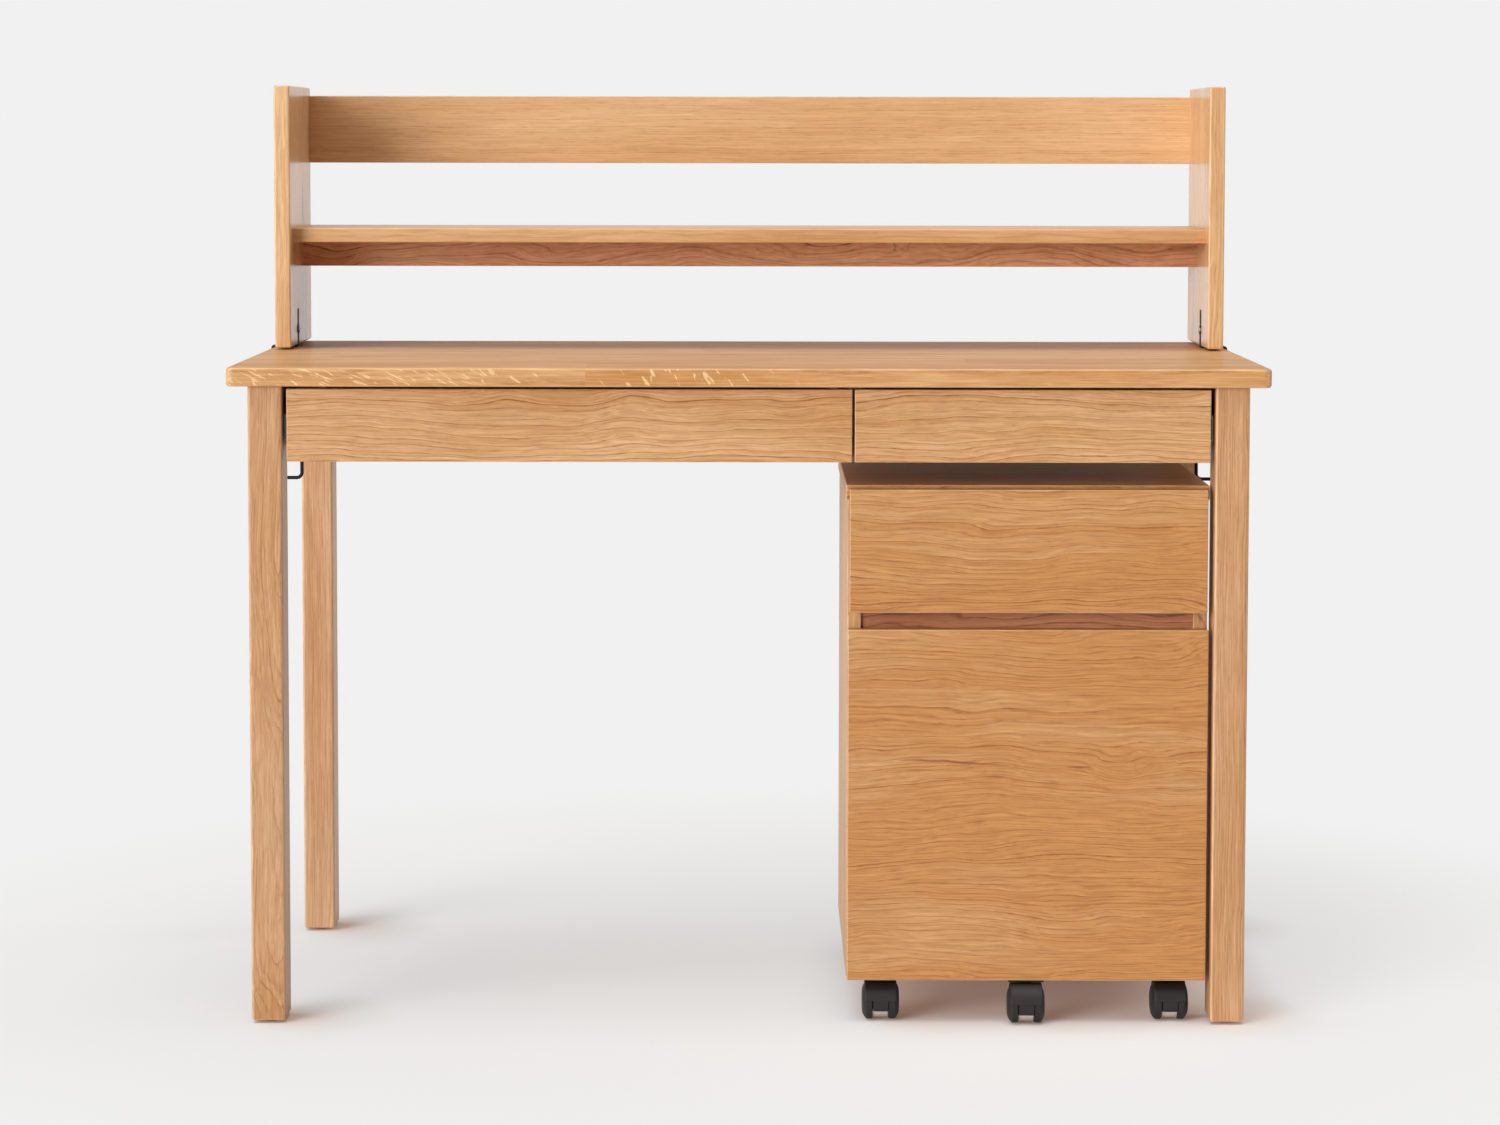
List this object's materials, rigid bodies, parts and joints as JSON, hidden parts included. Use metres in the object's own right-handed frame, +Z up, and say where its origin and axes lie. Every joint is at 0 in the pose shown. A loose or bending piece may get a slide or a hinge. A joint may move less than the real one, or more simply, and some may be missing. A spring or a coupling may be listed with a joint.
{
  "type": "desk with hutch",
  "caption": "Oak writing desk with drawers under its top, an open shelf hutch strapped on at the back, and a rolling drawer pedestal on casters in the knee space.",
  "frame": {"origin": "on the floor under the middle of the desk top", "axes": "+X to the sitter's right along the desk, +Y away from the sitter, +Z up"},
  "size_m": [1.1066, 0.55, 1.0003],
  "materials": {
    "oak": "satin lacquered oak veneer and solid oak",
    "drawer_box_wood": "pale lacquered drawer lining wood",
    "black_steel": "black powder coat",
    "zinc_steel": "zinc plated",
    "screw_steel": "bright zinc plated",
    "caster_plastic": "dark grey moulded nylon",
    "glide_plastic": "brown moulded plastic"
  },
  "bodies": {
    "desk": {"desk_top": "oak", "leg_front_left": "oak", "leg_front_right": "oak", "leg_rear_left": "oak", "leg_rear_right": "oak", "side_apron_left": "oak", "side_apron_right": "oak", "rear_apron": "oak", "drawer_divider": "oak", "leg_glides": "glide_plastic", "top_brackets": "zinc_steel", "desk_slide_rails": "zinc_steel", "desk_screws": "screw_steel", "hutch_side_left": "oak", "hutch_side_right": "oak", "hutch_board": "oak", "hutch_shelf": "oak", "hutch_shelf_rail": "oak", "hutch_strap_left": "black_steel", "hutch_strap_right": "black_steel", "bag_hooks": "black_steel"},
    "drawer_left": {"drawer_left_front": "oak", "drawer_left_sides": "drawer_box_wood", "drawer_left_back": "drawer_box_wood", "drawer_left_bottom": "drawer_box_wood", "drawer_left_runners": "zinc_steel"},
    "drawer_right": {"drawer_right_front": "oak", "drawer_right_sides": "drawer_box_wood", "drawer_right_back": "drawer_box_wood", "drawer_right_bottom": "drawer_box_wood", "drawer_right_runners": "zinc_steel"},
    "pedestal": {"pedestal_top": "oak", "pedestal_side_left": "oak", "pedestal_side_right": "oak", "pedestal_bottom": "oak", "pedestal_back": "oak", "pedestal_rail": "oak", "pedestal_slide_rails": "zinc_steel", "pedestal_caster_plates": "zinc_steel"},
    "upper_drawer": {"upper_drawer_front": "oak", "upper_drawer_sides": "drawer_box_wood", "upper_drawer_back": "drawer_box_wood", "upper_drawer_bottom": "drawer_box_wood", "upper_drawer_runners": "zinc_steel"},
    "file_drawer": {"file_drawer_front": "oak", "file_drawer_sides": "drawer_box_wood", "file_drawer_back": "drawer_box_wood", "file_drawer_bottom": "drawer_box_wood", "file_drawer_runners": "zinc_steel", "file_drawer_caster_bracket": "zinc_steel"},
    "front_left_caster": {"caster_front_left_hood": "caster_plastic"},
    "front_left_wheelset": {"caster_front_left_wheels": "caster_plastic"},
    "front_right_caster": {"caster_front_right_hood": "caster_plastic"},
    "front_right_wheelset": {"caster_front_right_wheels": "caster_plastic"},
    "rear_left_caster": {"caster_rear_left_hood": "caster_plastic"},
    "rear_left_wheelset": {"caster_rear_left_wheels": "caster_plastic"},
    "rear_right_caster": {"caster_rear_right_hood": "caster_plastic"},
    "rear_right_wheelset": {"caster_rear_right_wheels": "caster_plastic"},
    "drawer_caster": {"caster_drawer_hood": "caster_plastic"},
    "drawer_wheelset": {"caster_drawer_wheels": "caster_plastic"}
  },
  "joints": [
    {"name": "drawer_left_slide", "type": "slide", "parent": "desk", "child": "drawer_left", "axis": [0, -1, 0], "range_m": [0, 0.3]},
    {"name": "drawer_right_slide", "type": "slide", "parent": "desk", "child": "drawer_right", "axis": [0, -1, 0], "range_m": [0, 0.3]},
    {"name": "pedestal_roll", "type": "slide", "parent": "desk", "child": "pedestal", "axis": [0, -1, 0], "range_m": [0, 0.45]},
    {"name": "upper_drawer_slide", "type": "slide", "parent": "pedestal", "child": "upper_drawer", "axis": [0, -1, 0], "range_m": [0, 0.28]},
    {"name": "file_drawer_slide", "type": "slide", "parent": "pedestal", "child": "file_drawer", "axis": [0, -1, 0], "range_m": [0, 0.3]},
    {"name": "front_left_swivel", "type": "hinge", "parent": "pedestal", "child": "front_left_caster", "pos_m": [0.142, -0.219, 0.04], "axis": [0, 0, 1], "continuous": true},
    {"name": "front_left_wheel_spin", "type": "hinge", "parent": "front_left_caster", "child": "front_left_wheelset", "pos_m": [0.142, -0.234, 0.02], "axis": [1, 0, 0], "continuous": true},
    {"name": "front_right_swivel", "type": "hinge", "parent": "pedestal", "child": "front_right_caster", "pos_m": [0.451, -0.219, 0.04], "axis": [0, 0, 1], "continuous": true},
    {"name": "front_right_wheel_spin", "type": "hinge", "parent": "front_right_caster", "child": "front_right_wheelset", "pos_m": [0.451, -0.234, 0.02], "axis": [1, 0, 0], "continuous": true},
    {"name": "rear_left_swivel", "type": "hinge", "parent": "pedestal", "child": "rear_left_caster", "pos_m": [0.142, 0.115, 0.04], "axis": [0, 0, 1], "continuous": true},
    {"name": "rear_left_wheel_spin", "type": "hinge", "parent": "rear_left_caster", "child": "rear_left_wheelset", "pos_m": [0.142, 0.1, 0.02], "axis": [1, 0, 0], "continuous": true},
    {"name": "rear_right_swivel", "type": "hinge", "parent": "pedestal", "child": "rear_right_caster", "pos_m": [0.451, 0.115, 0.04], "axis": [0, 0, 1], "continuous": true},
    {"name": "rear_right_wheel_spin", "type": "hinge", "parent": "rear_right_caster", "child": "rear_right_wheelset", "pos_m": [0.451, 0.1, 0.02], "axis": [1, 0, 0], "continuous": true},
    {"name": "drawer_swivel", "type": "hinge", "parent": "file_drawer", "child": "drawer_caster", "pos_m": [0.2965, -0.237, 0.04], "axis": [0, 0, 1], "continuous": true},
    {"name": "drawer_wheel_spin", "type": "hinge", "parent": "drawer_caster", "child": "drawer_wheelset", "pos_m": [0.2965, -0.252, 0.02], "axis": [1, 0, 0], "continuous": true}
  ]
}
